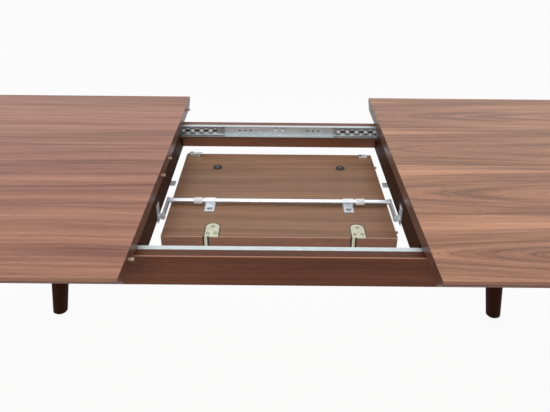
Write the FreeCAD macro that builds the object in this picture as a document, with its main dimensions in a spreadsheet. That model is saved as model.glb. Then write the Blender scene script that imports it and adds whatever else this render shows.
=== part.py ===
import FreeCAD, Part
import os

# Butterfly leaf table, open with its leaf folded in the frame
doc = FreeCAD.newDocument("butterfly_leaf_table")
sheet = doc.addObject("Spreadsheet::Sheet", "dims")

SIZES = {
    # tops
    "height": 750, "top_len": 750, "top_wid": 900, "top_thk": 28, "top_edge": 10, "bevel": 24,
    "open_half": 260,
    # frame
    "apron_gap": 6, "apron_hgt": 64, "apron_thk": 22, "apron_out": 334, "frame_half": 660,
    "end_thk": 22, "rail_x": 266, "rail_thk": 22, "tenon_hgt": 22, "pass_clear": 5,
    # legs
    "leg_top_x": 606, "leg_top_y": 280, "foot_x": 742, "foot_y": 395, "leg_top_dia": 78,
    "leg_foot_dia": 48, "glide_dia": 40, "glide_hgt": 4, "plate_side": 80, "plate_thk": 3,
    "block_len": 110, "block_wid": 96, "bolt_dia": 8, "bolt_head_dia": 14, "bolt_head": 4,
    "bolt_len": 14, "bolt_off": 22,
    # slides
    "slide_half": 500, "slide_hgt": 30, "slide_dep": 12.5, "gauge": 1.5, "member_len": 390,
    "member_hgt": 17, "member_thk": 6, "member_in": 10, "proud": 0.6, "cage_len": 300,
    "cage_out": 450, "cage_thk": 1.2, "cage_dep": 7.5, "cage_web": 0.8, "cage_set": 0.4,
    "ball_dia": 4.4, "ball_hole": 5, "ball_pitch": 25, "slot_dia": 5,
    "rail_hole_a": 78, "rail_hole_b": 93, "rail_hole_c": 108, "rail_hole_d": 10,
    "rail_screw_a": 200, "rail_screw_b": 440,
    # runners under the tops
    "runner_len": 560, "runner_wid": 25, "runner_hgt": 42, "runner_in": 20, "runner_screw": 180,
    # dowels between tops and leaf
    "dowel_dia": 6, "dowel_out": 9, "dowel_in": 20, "socket_dia": 6.8, "socket_len": 14,
    "dowel_near": 45, "dowel_far": 375,
    # folded leaf
    "leaf_wid": 500, "leaf_half": 450, "leaf_drop": 100.5, "leaf_front": -159, "face_gap": 0.6,
    "edge_clear": 0.3,
    # lifting arms
    "rod_dia": 12, "rod_y": -18, "rod_rise": 9, "arm_x": 253, "arm_thk": 4, "arm_wid": 16,
    "rod_end": 1, "collar_dia": 15.6, "collar_len": 20, "collar_x": 186, "clip_x": 158,
    "clip_wid": 25, "clip_dia": 16, "fit": 0.05, "tab_len": 37, "tab_wid": 22, "tab_thk": 2,
    "stud_dia": 8, "stud_head": 1.8, "stud_head_dia": 12, "spacer_dia": 14, "arm_clear": 0.4,
    "bracket_wid": 24, "bracket_up": 30, "bracket_down": 12, "bracket_thk": 2.5,
    "bracket_screw_a": 14, "bracket_screw_b": 24,
    # hinges
    "hinge_x": 156, "hinge_shift": 12.5, "hinge_wid": 29, "hinge_len": 54, "hinge_thk": 2, "strap_wid": 6,
    "strap_thk": 2.5, "knuckle_dia": 6, "knuckle_gap": 0.4, "pin_dia": 3, "notch_clear": 0.6,
    "hinge_screw_near": 14, "hinge_screw_far": 42, "hinge_screw_side": 8,
    # lock, strike, bumpers and guides
    "lock_len": 34, "lock_wid": 20, "lock_thk": 4, "lock_side": 5, "lock_back": 3,
    "lever_len": 24, "lever_wid": 8, "lever_thk": 3, "lever_pin_dia": 5, "lever_pin_head": 8,
    "lever_pin_rise": 1.5, "lever_end": 9, "strike_len": 22, "strike_wid": 14, "strike_thk": 3,
    "strike_hole": 7, "strike_side": 12, "bumper_x": 159, "bumper_y": 181, "bumper_dia": 23,
    "bumper_hole": 13, "bumper_thk": 2.5, "guide_y": 84, "guide_wid": 24, "guide_thk": 2,
    "guide_gap": 4, "guide_back": 16,
    # wood screws and cutting overrun
    "screw_dia": 3.5, "screw_head": 7, "screw_cap": 1.4, "screw_len": 9, "over": 1,
}
for row, (name, value) in enumerate(SIZES.items(), 1):
    sheet.set(f"A{row}", name)
    sheet.set(f"B{row}", str(value))
    sheet.setAlias(f"B{row}", name)
doc.recompute()


class Names:
    def __getattr__(self, name):
        sheet.getPropertyByName(name)
        return f"dims.{name}"


s = Names()
count = [0]
nodes = []


def e(*terms):
    # a sum of terms as one bracketed expression
    return "(" + " + ".join(f"({t})" for t in terms) + ")"


def neg(term):
    return f"(0 - ({term}))"


def half(term):
    return f"(({term}) / 2)"


def new(kind, **sizes):
    count[0] += 1
    obj = doc.addObject(kind, f"p{count[0]}")
    for key, term in sizes.items():
        obj.setExpression(key, term)
    return obj


def place(obj, x, y, z, axis=None, turn=0):
    if axis is not None:
        obj.Placement = FreeCAD.Placement(FreeCAD.Vector(), FreeCAD.Rotation(axis, turn))
    obj.setExpression("Placement.Base.x", x)
    obj.setExpression("Placement.Base.y", y)
    obj.setExpression("Placement.Base.z", z)
    return obj


XAX = FreeCAD.Vector(1, 0, 0)
YAX = FreeCAD.Vector(0, 1, 0)


def box(x, y, z, length, width, height):
    return place(new("Part::Box", Length=length, Width=width, Height=height), x, y, z)


def rod_z(dia, length, x, y, z):
    return place(new("Part::Cylinder", Radius=half(dia), Height=length), x, y, z)


def rod_x(dia, length, x, y, z):
    return place(new("Part::Cylinder", Radius=half(dia), Height=length), x, y, z, YAX, 90)


def rod_y(dia, length, x, y, z):
    return place(new("Part::Cylinder", Radius=half(dia), Height=length), x, y, z, XAX, -90)


def fuse(*objs):
    obj = new("Part::MultiFuse")
    obj.Shapes = list(objs)
    obj.Refine = True
    return obj


def cut(base, *tools):
    obj = new("Part::Cut")
    obj.Base = base
    if len(tools) > 1:
        tool = new("Part::Compound")
        tool.Links = list(tools)
    else:
        tool = tools[0]
    obj.Tool = tool
    return obj


def node(label, *objs):
    # one node, with its separate solids kept apart
    if len(objs) > 1:
        obj = new("Part::Compound")
        obj.Links = list(objs)
    else:
        obj = objs[0]
    obj.Label = label
    nodes.append(obj)
    return obj


def wedge(x, y, z, x_low, x_high, y_low, y_high, base, far, rise):
    # a frustum from a base outline to a far outline, its local Y turned up
    obj = new("Part::Wedge", Xmin=x_low[0], Xmax=x_high[0], Zmin=neg(y_high[0]), Zmax=neg(y_low[0]),
              Ymin=base, Ymax=far, X2min=x_low[1], X2max=x_high[1], Z2min=neg(y_high[1]),
              Z2max=neg(y_low[1]))
    return place(obj, x, y, z, XAX, rise)


# heights that several pieces share
under = e(s.height, neg(s.top_thk))
apron_top = e(under, neg(s.apron_gap))
apron_low = e(apron_top, neg(s.apron_hgt))
apron_in = e(s.apron_out, neg(s.apron_thk))
slide_in = e(apron_in, neg(s.slide_dep))
member_face = e(slide_in, neg(s.proud))
slide_mid = e(apron_top, neg(half(s.slide_hgt)))
tall_half = e(member_face, neg(s.runner_wid), neg(s.pass_clear))
zero = "0"


def screw_hole_z(x, y, z, up):
    # shank that runs down from z, or up
    start = z if up else e(z, neg(s.screw_len))
    return rod_z(s.screw_dia, s.screw_len, x, y, start)


def screw_z(x, y, z, up=False):
    # head below its face when the shank runs up, above it when it runs down
    head = e(z, neg(s.screw_cap)) if up else z
    return fuse(rod_z(s.screw_head, s.screw_cap, x, y, head), screw_hole_z(x, y, z, up))


# aprons along the sides
screw_x = [s.rail_screw_a, s.rail_screw_b]
rail_screws = []
for side, sign in (("front", -1), ("back", 1)):
    y_low = neg(s.apron_out) if sign < 0 else apron_in
    body = box(neg(s.frame_half), y_low, apron_low, e(s.frame_half, s.frame_half), s.apron_thk, s.apron_hgt)
    holes = []
    web_face = neg(e(apron_in, neg(s.gauge))) if sign < 0 else e(apron_in, neg(s.gauge))
    for x_term in screw_x:
        for x_at in (x_term, neg(x_term)):
            shank = e(s.screw_len, s.gauge)
            y_shank = e(web_face, neg(shank)) if sign < 0 else web_face
            y_head = web_face if sign < 0 else e(web_face, neg(s.screw_cap))
            holes.append(rod_y(s.screw_dia, shank, x_at, y_shank, slide_mid))
            rail_screws.append(fuse(rod_y(s.screw_dia, shank, x_at, y_shank, slide_mid),
                                    rod_y(s.screw_head, s.screw_cap, x_at, y_head, slide_mid)))
    node(f"{side}_apron", cut(body, *holes))
    # fixed slide rail, a channel open to the inside
    y_rail = neg(apron_in) if sign < 0 else slide_in
    y_hollow = neg(e(apron_in, neg(s.gauge))) if sign < 0 else e(slide_in, neg(s.over))
    low = e(apron_top, neg(s.slide_hgt))
    shell = box(neg(s.slide_half), y_rail, low, e(s.slide_half, s.slide_half), s.slide_dep, s.slide_hgt)
    hollow = box(neg(e(s.slide_half, s.over)), y_hollow, e(low, s.gauge),
                 e(s.slide_half, s.slide_half, s.over, s.over), e(s.slide_dep, neg(s.gauge), s.over),
                 e(s.slide_hgt, neg(s.gauge), neg(s.gauge)))
    y_bore = neg(e(apron_in, s.over)) if sign < 0 else e(apron_in, neg(s.gauge), neg(s.over))
    bore = e(s.gauge, s.over, s.over)
    bores = []
    for x_term in (s.rail_hole_a, s.rail_hole_b, s.rail_hole_c, s.rail_hole_d):
        for x_at in (x_term, neg(x_term)):
            bores.append(rod_y(s.slot_dia, bore, x_at, y_bore, slide_mid))
    for x_term in screw_x:
        for x_at in (x_term, neg(x_term)):
            bores.append(rod_y(s.screw_dia, bore, x_at, y_bore, slide_mid))
    node(f"{side}_slide_rail", cut(shell, hollow, *bores))
node("slide_rail_screws", *rail_screws)


# cross rails and end rails, low at both ends so that the runners pass over them
def rail(x_low, thick, *holes):
    tall = box(x_low, neg(tall_half), apron_low, thick, e(tall_half, tall_half), s.apron_hgt)
    tenon = box(x_low, neg(apron_in), apron_low, thick, e(apron_in, apron_in), s.tenon_hgt)
    body = fuse(tall, tenon)
    return cut(body, *holes) if holes else body


# the pivot stands where the rod is as far from it at rest as when the leaf is up
leaf_face = e(s.height, neg(s.leaf_drop))
rod_level = e(leaf_face, s.rod_rise)
reach = e(s.rod_y, neg(s.leaf_front))
lift = e(s.leaf_drop, neg(s.top_thk), neg(s.rod_rise), neg(s.rod_rise))
pivot_y = f"(({s.rod_y} * {s.rod_y} - {reach} * {reach} - {lift} * {lift}) / (2 * ({s.rod_y} + {reach})))"
arm_len = e(s.rod_y, neg(pivot_y))
guide_low = e(apron_low, neg(s.guide_thk))
leaf_edge = half(s.leaf_wid)
guide_len = e(s.rail_x, neg(leaf_edge), neg(s.guide_gap), s.guide_back)
brackets, studs, bracket_screws, guides, guide_screws = [], [], [], [], []
for side, sign in (("left", -1), ("right", 1)):
    x_rail = neg(e(s.rail_x, s.rail_thk)) if sign < 0 else s.rail_x
    x_face = neg(s.rail_x) if sign < 0 else s.rail_x
    holes = []
    for rise in (s.bracket_screw_a, s.bracket_screw_b):
        z_at = e(rod_level, rise)
        shank = e(s.screw_len, s.bracket_thk)
        x_shank = e(x_face, neg(s.screw_len)) if sign < 0 else e(x_face, neg(s.bracket_thk))
        head_at = e(x_face, s.bracket_thk) if sign < 0 else e(x_face, neg(s.bracket_thk), neg(s.screw_cap))
        holes.append(rod_x(s.screw_dia, shank, x_shank, pivot_y, z_at))
        bracket_screws.append(fuse(rod_x(s.screw_dia, shank, x_shank, pivot_y, z_at),
                                   rod_x(s.screw_head, s.screw_cap, head_at, pivot_y, z_at)))
    x_guide = e(s.rail_x, half(s.guide_back)) if sign > 0 else neg(e(s.rail_x, half(s.guide_back)))
    guide_hole = screw_hole_z(x_guide, s.guide_y, guide_low, True)
    node(f"{side}_cross_rail", rail(x_rail, s.rail_thk, *holes, guide_hole))
    # bracket plate on the rail
    x_plate = x_face if sign < 0 else e(x_face, neg(s.bracket_thk))
    plate = box(x_plate, e(pivot_y, neg(half(s.bracket_wid))), e(rod_level, neg(s.bracket_down)),
                s.bracket_thk, s.bracket_wid, e(s.bracket_up, s.bracket_down))
    bore = e(s.bracket_thk, s.over, s.over)
    stud_bore = rod_x(s.stud_dia, bore, e(x_plate, neg(s.over)), pivot_y, rod_level)
    brackets.append(cut(plate, stud_bore, *holes))
    # pivot stud with a shoulder behind the arm and a head before it
    inner = e(s.rail_x, neg(s.bracket_thk))
    arm_far = e(s.arm_x, s.arm_thk, s.arm_clear)
    head_far = e(s.arm_x, neg(s.arm_clear))
    head_near = e(head_far, neg(s.stud_head))
    stud_len = e(s.rail_x, neg(head_near))
    shoulder_len = e(inner, neg(arm_far))
    if sign > 0:
        stud = [rod_x(s.stud_dia, stud_len, head_near, pivot_y, rod_level),
                rod_x(s.stud_head_dia, s.stud_head, head_near, pivot_y, rod_level),
                rod_x(s.spacer_dia, shoulder_len, arm_far, pivot_y, rod_level)]
    else:
        stud = [rod_x(s.stud_dia, stud_len, neg(s.rail_x), pivot_y, rod_level),
                rod_x(s.stud_head_dia, s.stud_head, neg(head_far), pivot_y, rod_level),
                rod_x(s.spacer_dia, shoulder_len, neg(inner), pivot_y, rod_level)]
    studs.append(fuse(*stud))
    # side guide under the rail, just clear of the leaf
    x_tab = e(leaf_edge, s.guide_gap) if sign > 0 else neg(e(leaf_edge, s.guide_gap, guide_len))
    tab = box(x_tab, e(s.guide_y, neg(half(s.guide_wid))), guide_low, guide_len, s.guide_wid, s.guide_thk)
    guides.append(cut(tab, guide_hole))
    guide_screws.append(screw_z(x_guide, s.guide_y, guide_low, True))
    x_end = neg(s.frame_half) if sign < 0 else e(s.frame_half, neg(s.end_thk))
    node(f"{side}_end_rail", rail(x_end, s.end_thk))
node("arm_brackets", *brackets)
node("arm_pivot_studs", *studs)
node("arm_bracket_screws", *bracket_screws)
node("leaf_guides", *guides)
node("leaf_guide_screws", *guide_screws)

# corner blocks, leg plates, legs, glides and bolts
blocks, plates, bolts, glides = [], [], [], []
leg_top = e(apron_low, neg(s.plate_thk))
for y_name, y_sign in (("front", -1), ("back", 1)):
    for x_name, x_sign in (("left", -1), ("right", 1)):
        def sx(term):
            return term if x_sign > 0 else neg(term)

        def sy(term):
            return term if y_sign > 0 else neg(term)
        inner_x = e(s.frame_half, neg(s.end_thk))
        x_low = e(inner_x, neg(s.block_len)) if x_sign > 0 else neg(inner_x)
        y_low = e(apron_in, neg(s.block_wid)) if y_sign > 0 else neg(apron_in)
        bolt_bores = []
        for along in (s.bolt_off, neg(s.bolt_off)):
            x_at, y_at = e(sx(s.leg_top_x), along), sy(e(s.leg_top_y, neg(half(s.bolt_off))))
            z_at = e(leg_top, neg(s.bolt_len))
            shank = e(s.bolt_len, s.plate_thk, s.tenon_hgt)
            bolt_bores.append(rod_z(s.bolt_dia, shank, x_at, y_at, z_at))
            bolts.append(fuse(rod_z(s.bolt_dia, shank, x_at, y_at, z_at),
                              rod_z(s.bolt_head_dia, s.bolt_head, x_at, y_at, e(apron_low, s.tenon_hgt))))
        block = box(x_low, y_low, apron_low, s.block_len, s.block_wid, s.tenon_hgt)
        blocks.append(cut(block, *bolt_bores))
        side = half(s.plate_side)
        plate = box(e(sx(s.leg_top_x), neg(side)), e(sy(s.leg_top_y), neg(side)), leg_top,
                    s.plate_side, s.plate_side, s.plate_thk)
        plates.append(cut(plate, *bolt_bores))
        foot = place(new("Part::Circle", Radius=half(s.leg_foot_dia)), sx(s.foot_x), sy(s.foot_y), s.glide_hgt)
        head = place(new("Part::Circle", Radius=half(s.leg_top_dia)), sx(s.leg_top_x), sy(s.leg_top_y), leg_top)
        leg = new("Part::Loft")
        leg.Sections = [foot, head]
        leg.Solid = True
        leg.Ruled = True
        node(f"leg_{y_name}_{x_name}", cut(leg, *bolt_bores))
        glides.append(rod_z(s.glide_dia, s.glide_hgt, sx(s.foot_x), sy(s.foot_y), zero))
node("corner_blocks", *blocks)
node("leg_plates", *plates)
node("leg_bolts", *bolts)
node("leg_glides", *glides)

# tops with a bevel under their three outer edges
dowel_y = [s.dowel_near, neg(s.dowel_near), s.dowel_far, neg(s.dowel_far)]
dowel_z = e(s.height, neg(half(s.top_thk)))
thin = e(s.top_thk, neg(s.top_edge))
for side, sign in (("left", -1), ("right", 1)):
    inner, outer = s.open_half, e(s.open_half, s.top_len)
    wide = half(s.top_wid)
    x_low = neg(outer) if sign < 0 else inner
    slab = box(x_low, neg(wide), e(s.height, neg(s.top_edge)), s.top_len, s.top_wid, s.top_edge)
    narrow = e(wide, neg(s.bevel))
    if sign < 0:
        lows, highs = (neg(e(outer, neg(s.bevel))), neg(outer)), (neg(inner), neg(inner))
    else:
        lows, highs = (inner, inner), (e(outer, neg(s.bevel)), outer)
    skirt = wedge(zero, zero, under, lows, highs, (neg(narrow), neg(wide)), (narrow, wide), zero, thin, 90)
    panel = fuse(slab, skirt)
    holes, runner_screws, runners, members = [], [], [], []
    for y_sign in (-1, 1):
        y_run = e(member_face, neg(s.runner_wid)) if y_sign > 0 else neg(member_face)
        x_run = e(inner, s.runner_in) if sign > 0 else neg(e(inner, s.runner_in, s.runner_len))
        z_run = e(under, neg(s.runner_hgt))
        run_holes = []
        for along in (neg(s.runner_screw), zero, s.runner_screw):
            x_at = e(x_run, half(s.runner_len), along)
            y_at = e(y_run, half(s.runner_wid))
            shank = e(s.runner_hgt, s.screw_len)
            run_holes.append(rod_z(s.screw_dia, shank, x_at, y_at, z_run))
            holes.append(run_holes[-1])
            runner_screws.append(fuse(rod_z(s.screw_dia, shank, x_at, y_at, z_run),
                                      rod_z(s.screw_head, s.screw_cap, x_at, y_at, e(z_run, neg(s.screw_cap)))))
        runners.append(cut(box(x_run, y_run, z_run, s.runner_len, s.runner_wid, s.runner_hgt), *run_holes))
        y_mem = member_face if y_sign > 0 else neg(e(member_face, s.member_thk))
        x_mem = e(inner, s.member_in) if sign > 0 else neg(e(inner, s.member_in, s.member_len))
        members.append(box(x_mem, y_mem, e(slide_mid, neg(half(s.member_hgt))),
                           s.member_len, s.member_thk, s.member_hgt))
    if sign < 0:
        length = e(s.dowel_in, s.dowel_out)
        pegs = [rod_x(s.dowel_dia, length, neg(e(inner, s.dowel_in)), y, dowel_z) for y in dowel_y]
        node("left_top_panel", cut(panel, *pegs, *holes))
        node("left_top_dowels", *pegs)
    else:
        sockets = [rod_x(s.socket_dia, s.socket_len, inner, y, dowel_z) for y in dowel_y]
        node("right_top_panel", cut(panel, *sockets, *holes))
    node(f"{side}_runners", *runners)
    node(f"{side}_runner_screws", *runner_screws)
    node(f"{side}_slide_members", *members)

    # ball cages between the members and the fixed rails
    gap = half(e(s.slide_hgt, neg(s.gauge), neg(s.gauge), neg(s.member_hgt)))
    ball_z = half(e(s.member_hgt, gap))
    cages = []
    for y_sign in (-1, 1):
        x_cage = e(s.cage_out, neg(s.cage_len)) if sign > 0 else neg(s.cage_out)
        y_open = e(slide_in, s.cage_set) if y_sign > 0 else neg(e(slide_in, s.cage_set, s.cage_dep))
        full = e(ball_z, ball_z, s.cage_thk)
        hollow_hgt = e(ball_z, ball_z, neg(s.cage_thk))
        shell = box(x_cage, y_open, e(slide_mid, neg(half(full))), s.cage_len, s.cage_dep, full)
        y_cut = e(y_open, neg(s.over)) if y_sign > 0 else e(y_open, s.cage_web)
        hollow = box(e(x_cage, neg(s.over)), y_cut, e(slide_mid, neg(half(hollow_hgt))),
                     e(s.cage_len, s.over, s.over), e(s.cage_dep, neg(s.cage_web), s.over), hollow_hgt)
        y_ball = e(slide_in, half(s.member_thk)) if y_sign > 0 else neg(e(slide_in, half(s.member_thk)))
        first = e(x_cage, half(s.ball_pitch))
        bore = rod_z(s.ball_hole, e(full, s.over, s.over), first, y_ball,
                     e(slide_mid, neg(half(full)), neg(s.over)))
        turns = int(SIZES["cage_len"] // SIZES["ball_pitch"])
        bores = [bore]
        for i in range(1, turns):
            bores.append(rod_z(s.ball_hole, e(full, s.over, s.over), e(first, f"{s.ball_pitch} * {i}"), y_ball,
                               e(slide_mid, neg(half(full)), neg(s.over))))
        cages.append(cut(shell, hollow, *bores))
    node(f"{side}_ball_cages", *cages)
    balls = []
    for y_sign in (-1, 1):
        for z_sign in (-1, 1):
            for i in range(turns):
                x_cage = e(s.cage_out, neg(s.cage_len)) if sign > 0 else neg(s.cage_out)
                y_ball = e(slide_in, half(s.member_thk)) if y_sign > 0 else neg(e(slide_in, half(s.member_thk)))
                z_ball = e(slide_mid, ball_z if z_sign > 0 else neg(ball_z))
                ball = new("Part::Sphere", Radius=half(s.ball_dia))
                balls.append(place(ball, e(x_cage, half(s.ball_pitch), f"{s.ball_pitch} * {i}"), y_ball, z_ball))
    node(f"{side}_slide_balls", *balls)

# lifting arms with the rod between them
arms, arm_holes = [], []
rod_half = e(s.arm_x, s.arm_thk, s.rod_end)
rod = rod_x(s.rod_dia, e(rod_half, rod_half), neg(rod_half), s.rod_y, rod_level)
stud_hole_dia = e(s.stud_dia, s.fit, s.fit)
for sign in (-1, 1):
    x_arm = s.arm_x if sign > 0 else neg(e(s.arm_x, s.arm_thk))
    bar = box(x_arm, pivot_y, e(rod_level, neg(half(s.arm_wid))), s.arm_thk, arm_len, s.arm_wid)
    eye_a = rod_x(s.arm_wid, s.arm_thk, x_arm, pivot_y, rod_level)
    eye_b = rod_x(s.arm_wid, s.arm_thk, x_arm, s.rod_y, rod_level)
    bore = rod_x(stud_hole_dia, e(s.arm_thk, s.over, s.over), e(x_arm, neg(s.over)), pivot_y, rod_level)
    arms.append(cut(fuse(bar, eye_a, eye_b), bore, rod))
node("swing_arms", *arms)
collars = []
for sign in (-1, 1):
    x_at = e(s.collar_x, neg(half(s.collar_len))) if sign > 0 else neg(e(s.collar_x, half(s.collar_len)))
    collars.append(cut(rod_x(s.collar_dia, s.collar_len, x_at, s.rod_y, rod_level), rod))
node("rod_collars", *collars)
node("pivot_rod", rod)

# folded leaf: half A on top, half B below it, show faces together
show_z = e(leaf_face, neg(s.top_thk), neg(half(s.face_gap)))
edge_y = e(s.leaf_front, s.edge_clear)
depth = e(s.leaf_half, neg(s.edge_clear))
back_y = e(s.leaf_front, s.leaf_half)
knuckle_x = half(e(s.strap_wid, s.knuckle_gap))
plate_side = half(s.hinge_wid)
socket_y = [e(s.leaf_front, s.dowel_near), e(s.leaf_front, s.dowel_far)]
plates_by_half, screws_by_half, panel_cuts = {}, {}, {}
pins = []
for name, up in (("a", 1), ("b", -1)):
    def level(term):
        return e(show_z, term) if up > 0 else e(show_z, neg(term))
    near = half(s.face_gap)
    outer_face = e(near, s.top_thk)
    slab_z = level(near) if up > 0 else level(e(near, s.top_edge))
    slab = box(neg(leaf_edge), edge_y, slab_z, s.leaf_wid, depth, s.top_edge)
    far_y = e(back_y, neg(s.bevel))
    if up > 0:
        skirt = wedge(zero, zero, level(e(near, s.top_edge)), (neg(leaf_edge), neg(leaf_edge)),
                      (leaf_edge, leaf_edge), (edge_y, edge_y), (back_y, far_y), zero, thin, 90)
    else:
        skirt = wedge(zero, zero, level(outer_face), (neg(leaf_edge), neg(leaf_edge)),
                      (leaf_edge, leaf_edge), (edge_y, edge_y), (far_y, back_y), zero, thin, 90)
    cuts, hinge_plates, screws, tips = [], [], [], []
    for sign in (-1, 1):
        x_mid = e(s.hinge_shift, s.hinge_x) if sign > 0 else e(s.hinge_shift, neg(s.hinge_x))
        x_left = e(x_mid, neg(plate_side))
        # knuckles share one pin at the left end of the plate, a half turn apart
        x_strap = x_left if up > 0 else e(x_left, s.strap_wid, s.knuckle_gap)
        z_plate = level(e(outer_face, neg(s.hinge_thk))) if up > 0 else level(outer_face)
        square = e(s.hinge_len, neg(plate_side))
        leaf_plate = box(x_left, edge_y, z_plate, s.hinge_wid, square, s.hinge_thk)
        round_end = rod_z(s.hinge_wid, s.hinge_thk, x_mid, e(edge_y, square), z_plate)
        strap_low = show_z if up > 0 else level(outer_face)
        strap = box(x_strap, edge_y, strap_low, s.strap_wid, s.strap_thk, outer_face)
        knuckle = rod_x(s.knuckle_dia, s.strap_wid, x_strap, s.leaf_front, show_z)
        pin_hole = s.pin_dia if up > 0 else e(s.pin_dia, s.fit, s.fit)
        bore = rod_x(pin_hole, e(s.strap_wid, s.over, s.over), e(x_strap, neg(s.over)), s.leaf_front, show_z)
        plain = fuse(leaf_plate, round_end, strap, knuckle)
        spots = [(x_mid, s.hinge_screw_far), (e(x_mid, s.hinge_screw_side), s.hinge_screw_near),
                 (e(x_mid, neg(s.hinge_screw_side)), s.hinge_screw_near)]
        shanks = []
        for x_at, y_off in spots:
            y_at = e(edge_y, y_off)
            shank = e(s.screw_len, s.hinge_thk)
            z_shank = level(e(outer_face, neg(shank))) if up > 0 else level(outer_face)
            z_head = level(outer_face) if up > 0 else level(e(outer_face, s.screw_cap))
            shanks.append(rod_z(s.screw_dia, shank, x_at, y_at, z_shank))
            screws.append(fuse(rod_z(s.screw_dia, shank, x_at, y_at, z_shank),
                               rod_z(s.screw_head, s.screw_cap, x_at, y_at, z_head)))
        hinge_plates.append(cut(plain, bore, *shanks))
        notch = e(s.knuckle_dia, s.notch_clear, s.notch_clear)
        notch_len = e(s.strap_wid, s.strap_wid, s.knuckle_gap, s.notch_clear, s.notch_clear)
        cuts.append(rod_x(notch, notch_len, e(x_left, neg(s.notch_clear)), s.leaf_front, show_z))
        cuts += [leaf_plate, round_end, strap, *shanks]
        if up > 0:
            pin_len = e(s.strap_wid, s.strap_wid, s.knuckle_gap)
            pins.append(rod_x(s.pin_dia, pin_len, x_left, s.leaf_front, show_z))
    mid_z = level(e(near, half(s.top_thk)))
    length = e(s.dowel_in, s.dowel_out)
    pegs = [rod_x(s.dowel_dia, length, e(leaf_edge, neg(s.dowel_in)), y, mid_z) for y in socket_y]
    sockets = [rod_x(s.socket_dia, s.socket_len, neg(leaf_edge), y, mid_z) for y in socket_y]
    panel_cuts[name] = (fuse(slab, skirt), cuts + pegs + sockets)
    node(f"leaf_{name}_hinge_plates", *hinge_plates)
    node(f"leaf_{name}_hinge_screws", *screws)
    node(f"leaf_{name}_dowels", *pegs)
node("hinge_pins", *pins)

# clips that hold half A on the rod
clips, clip_screws, face_holes = [], [], []
bore_dia = e(s.rod_dia, s.fit, s.fit)
for sign in (-1, 1):
    x_mid = s.clip_x if sign > 0 else neg(s.clip_x)
    x_low = e(x_mid, neg(half(s.clip_wid)))
    ring = rod_x(s.clip_dia, s.clip_wid, x_low, s.rod_y, rod_level)
    riser = box(x_low, e(s.rod_y, neg(half(s.clip_dia))), leaf_face, s.clip_wid, half(s.clip_dia), s.rod_rise)
    tab = box(e(x_mid, neg(half(s.tab_wid))), e(s.rod_y, neg(s.tab_len)), leaf_face,
              s.tab_wid, s.tab_len, s.tab_thk)
    bore = rod_x(bore_dia, e(s.clip_wid, s.over, s.over), e(x_low, neg(s.over)), s.rod_y, rod_level)
    y_at = e(s.rod_y, neg(half(e(s.tab_len, half(s.clip_dia)))))
    z_at = e(leaf_face, neg(s.screw_len))
    shank = rod_z(s.screw_dia, e(s.screw_len, s.tab_thk), x_mid, y_at, z_at)
    clips.append(cut(fuse(ring, riser, tab), bore, shank))
    clip_screws.append(fuse(rod_z(s.screw_dia, e(s.screw_len, s.tab_thk), x_mid, y_at, z_at),
                            rod_z(s.screw_head, s.screw_cap, x_mid, y_at, e(leaf_face, s.tab_thk))))
    face_holes.append(shank)
node("rod_clips", *clips)
node("clip_screws", *clip_screws)

# lock body and its lever at the back left corner, strike plate at the back right
lock_x = neg(e(leaf_edge, neg(s.lock_side)))
lock_y = e(back_y, neg(s.bevel), neg(s.lock_back), neg(s.lock_wid))
lock_mid = e(lock_y, half(s.lock_wid))
pin_x = e(lock_x, half(s.lock_wid))
lock_low = e(leaf_face, neg(s.screw_len))
lock_far = e(lock_x, s.lock_len, neg(half(s.screw_head)))
lock_shank = rod_z(s.screw_dia, e(s.screw_len, s.lock_thk), lock_far, lock_mid, lock_low)
face_holes.append(lock_shank)
lever_low = e(leaf_face, s.lock_thk, s.screw_cap, s.arm_clear)
post = fuse(rod_z(s.lever_pin_dia, e(s.screw_cap, s.arm_clear, s.lever_thk, s.arm_clear), pin_x, lock_mid,
                  e(leaf_face, s.lock_thk)),
            rod_z(s.lever_pin_head, s.lever_pin_rise, pin_x, lock_mid,
                  e(lever_low, s.lever_thk, s.arm_clear)),
            rod_z(s.lever_pin_head, s.screw_cap, pin_x, lock_mid, e(leaf_face, s.lock_thk)))
lock_plate = box(lock_x, lock_y, leaf_face, s.lock_len, s.lock_wid, s.lock_thk)
node("leaf_lock_body", cut(fuse(lock_plate, post), lock_shank))
node("leaf_lock_screw", fuse(rod_z(s.screw_dia, e(s.screw_len, s.lock_thk), lock_far, lock_mid, lock_low),
                             rod_z(s.screw_head, s.screw_cap, lock_far, lock_mid, e(leaf_face, s.lock_thk))))
lever_bar = box(pin_x, e(lock_mid, neg(half(s.lever_wid))), lever_low, s.lever_len, s.lever_wid, s.lever_thk)
lever_eye = rod_z(e(s.lever_wid, s.lever_pin_head, neg(s.lever_pin_dia)), s.lever_thk, pin_x, lock_mid, lever_low)
lever_tip = rod_z(s.lever_end, s.lever_thk, e(pin_x, s.lever_len), lock_mid, lever_low)
lever_bore = rod_z(e(s.lever_pin_dia, s.fit, s.fit), e(s.lever_thk, s.over, s.over), pin_x, lock_mid,
                   e(lever_low, neg(s.over)))
node("leaf_lock_lever", cut(fuse(lever_bar, lever_eye, lever_tip), lever_bore))
strike_x = e(leaf_edge, neg(s.strike_side), neg(s.strike_len))
strike_y = e(back_y, neg(s.bevel), neg(s.lock_back), neg(s.strike_wid))
strike_mid = e(strike_y, half(s.strike_wid))
strike_far = e(strike_x, half(s.screw_head))
strike_eye = e(strike_x, s.strike_len, neg(s.strike_hole))
strike_shank = rod_z(s.screw_dia, e(s.screw_len, s.strike_thk), strike_far, strike_mid, lock_low)
face_holes.append(strike_shank)
node("leaf_strike", cut(box(strike_x, strike_y, leaf_face, s.strike_len, s.strike_wid, s.strike_thk),
                        strike_shank,
                        rod_z(s.strike_hole, e(s.strike_thk, s.over, s.over), strike_eye, strike_mid,
                              e(leaf_face, neg(s.over)))))
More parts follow.
